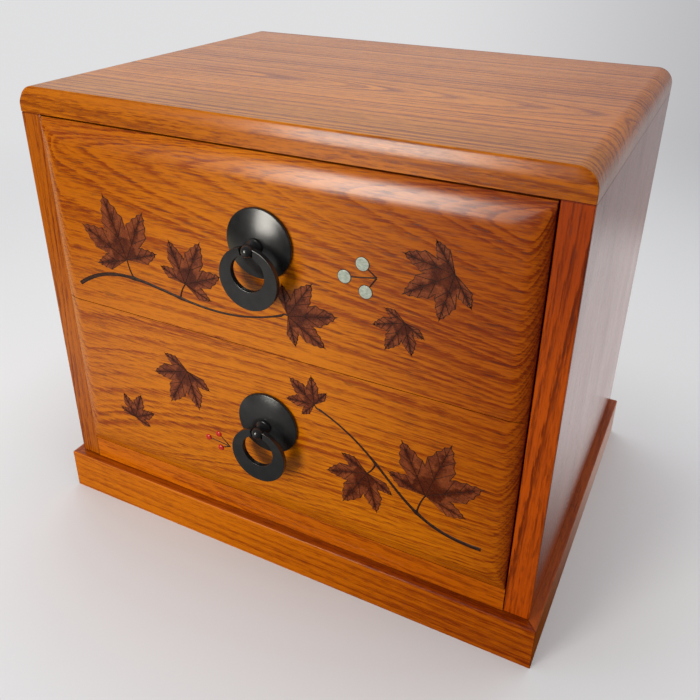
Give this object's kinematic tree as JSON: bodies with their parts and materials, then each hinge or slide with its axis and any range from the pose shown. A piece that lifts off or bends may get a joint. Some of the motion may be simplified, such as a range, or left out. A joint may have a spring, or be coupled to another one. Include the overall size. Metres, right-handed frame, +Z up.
{
  "type": "tansu chest",
  "caption": "Small tabletop tansu chest in lacquered wood with pillow-moulded drawer fronts, leaf marquetry, black iron ring pulls and a projecting plinth.",
  "frame": {"origin": "middle of the footprint on the floor, between the foremost point of the pulls and the back", "axes": "+X to the viewer's right, +Y from the drawer fronts to the back, +Z up"},
  "size_m": [0.341, 0.2642, 0.2918],
  "materials": {
    "zelkova": "glossy amber lacquer over strong zelkova grain",
    "paulownia": "pale bare paulownia, planed",
    "black_iron": "satin black baked finish",
    "zinc_steel": "dull zinc plate",
    "leaf_veneer": "dark red-brown veneer under lacquer",
    "stem_veneer": "dark brown veneer under lacquer",
    "shell": "polished grey-green shell",
    "berry_lacquer": "polished red lacquer"
  },
  "bodies": {
    "carcass": {"back_panel": "paulownia", "bottom_board": "zelkova", "left_side_panel": "zelkova", "middle_shelf": "paulownia", "plinth_front_left_block": "paulownia", "plinth_front_rail": "zelkova", "plinth_front_right_block": "paulownia", "plinth_left_rail": "zelkova", "plinth_rear_left_block": "paulownia", "plinth_rear_rail": "zelkova", "plinth_rear_right_block": "paulownia", "plinth_right_rail": "zelkova", "right_side_panel": "zelkova", "top_board": "zelkova"},
    "upper_drawer": {"upper_drawer_back": "paulownia", "upper_drawer_bottom": "paulownia", "upper_drawer_front": "zelkova", "upper_drawer_left_side": "paulownia", "upper_drawer_right_side": "paulownia", "upper_leaf_inlay_1": "leaf_veneer", "upper_leaf_inlay_2": "leaf_veneer", "upper_leaf_inlay_3": "leaf_veneer", "upper_leaf_inlay_4": "leaf_veneer", "upper_leaf_inlay_5": "leaf_veneer", "upper_pull_nut": "zinc_steel", "upper_pull_plate": "black_iron", "upper_pull_post": "black_iron", "upper_pull_washer": "zinc_steel", "upper_shell_inlay_1": "shell", "upper_shell_inlay_2": "shell", "upper_shell_inlay_3": "shell", "upper_stem_inlay": "stem_veneer"},
    "lower_drawer": {"lower_berry_inlay_1": "berry_lacquer", "lower_berry_inlay_2": "berry_lacquer", "lower_berry_inlay_3": "berry_lacquer", "lower_drawer_back": "paulownia", "lower_drawer_bottom": "paulownia", "lower_drawer_front": "zelkova", "lower_drawer_left_side": "paulownia", "lower_drawer_right_side": "paulownia", "lower_leaf_inlay_1": "leaf_veneer", "lower_leaf_inlay_2": "leaf_veneer", "lower_leaf_inlay_3": "leaf_veneer", "lower_leaf_inlay_4": "leaf_veneer", "lower_leaf_inlay_5": "leaf_veneer", "lower_pull_nut": "zinc_steel", "lower_pull_plate": "black_iron", "lower_pull_post": "black_iron", "lower_pull_washer": "zinc_steel", "lower_stem_inlay": "stem_veneer"},
    "upper_ring": {"upper_pull_ring": "black_iron"},
    "lower_ring": {"lower_pull_ring": "black_iron"}
  },
  "joints": [
    {"name": "upper_drawer_slide", "type": "slide", "parent": "carcass", "child": "upper_drawer", "axis": [0, -1, 0], "range_m": [0, 0.18]},
    {"name": "lower_drawer_slide", "type": "slide", "parent": "carcass", "child": "lower_drawer", "axis": [0, -1, 0], "range_m": [0, 0.18]},
    {"name": "upper_ring_swing", "type": "hinge", "parent": "upper_drawer", "child": "upper_ring", "pos_m": [0, -0.12855, 0.22775], "axis": [-1, 0, 0], "range_deg": [-17, 197]},
    {"name": "lower_ring_swing", "type": "hinge", "parent": "lower_drawer", "child": "lower_ring", "pos_m": [0, -0.12855, 0.11295], "axis": [-1, 0, 0], "range_deg": [-17, 197]}
  ]
}
